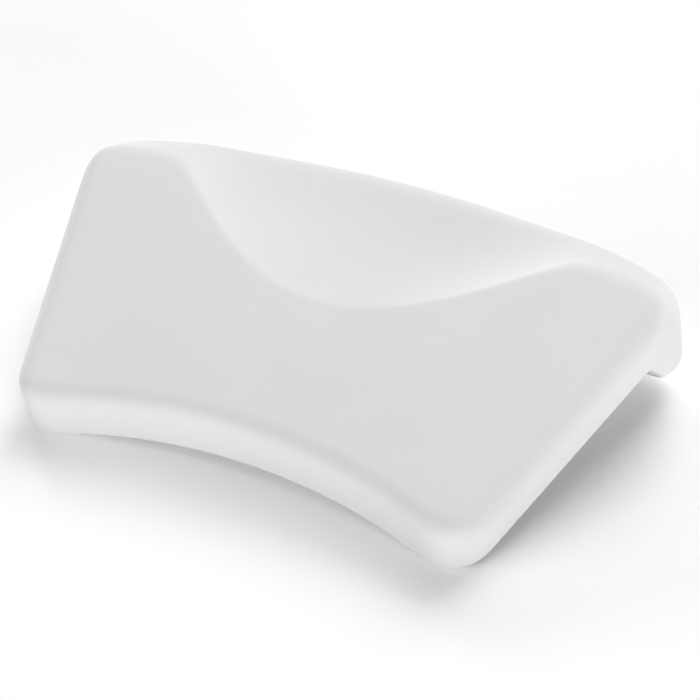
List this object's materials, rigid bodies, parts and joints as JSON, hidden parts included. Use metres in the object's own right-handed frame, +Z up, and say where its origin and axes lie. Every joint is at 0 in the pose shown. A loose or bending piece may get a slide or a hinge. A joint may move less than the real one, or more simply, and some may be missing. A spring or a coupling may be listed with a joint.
{
  "type": "bath pillow",
  "caption": "Soft white L-shaped bath headrest: fan-shaped front panel with a neck scoop, an arm that sits on the bath rim, and pull-out suction cups on its back.",
  "frame": {"origin": "bottom centre of the bounding box, with the pillow lying on a table as in the picture", "axes": "+X across the width, +Y from the panel's lower edge towards the arm, +Z up"},
  "size_m": [0.36, 0.2254, 0.0802],
  "materials": {
    "skin": "satin",
    "lining": "matte",
    "foam": "matte",
    "plate": "matte",
    "grommet": "matte",
    "cup": "gloss"
  },
  "bodies": {
    "pillow": {"front_skin": "skin", "back_skin": "lining", "foam_core": "foam", "stiffener_plate": "plate", "cup_grommet_1": "grommet", "cup_grommet_2": "grommet", "cup_grommet_3": "grommet", "cup_grommet_4": "grommet"},
    "cup_1": {"suction_cup_1": "cup"},
    "cup_2": {"suction_cup_2": "cup"},
    "cup_3": {"suction_cup_3": "cup"},
    "cup_4": {"suction_cup_4": "cup"}
  },
  "joints": [
    {"name": "cup_pull_1", "type": "slide", "parent": "pillow", "child": "cup_1", "axis": [0, 0.2998, -0.954], "range_m": [0, 0.0058]},
    {"name": "cup_pull_2", "type": "slide", "parent": "pillow", "child": "cup_2", "axis": [0, 0.2998, -0.954], "range_m": [0, 0.0058]},
    {"name": "cup_pull_3", "type": "slide", "parent": "pillow", "child": "cup_3", "axis": [0, 0.2998, -0.954], "range_m": [0, 0.0058]},
    {"name": "cup_pull_4", "type": "slide", "parent": "pillow", "child": "cup_4", "axis": [0, 0.2998, -0.954], "range_m": [0, 0.0058]}
  ]
}
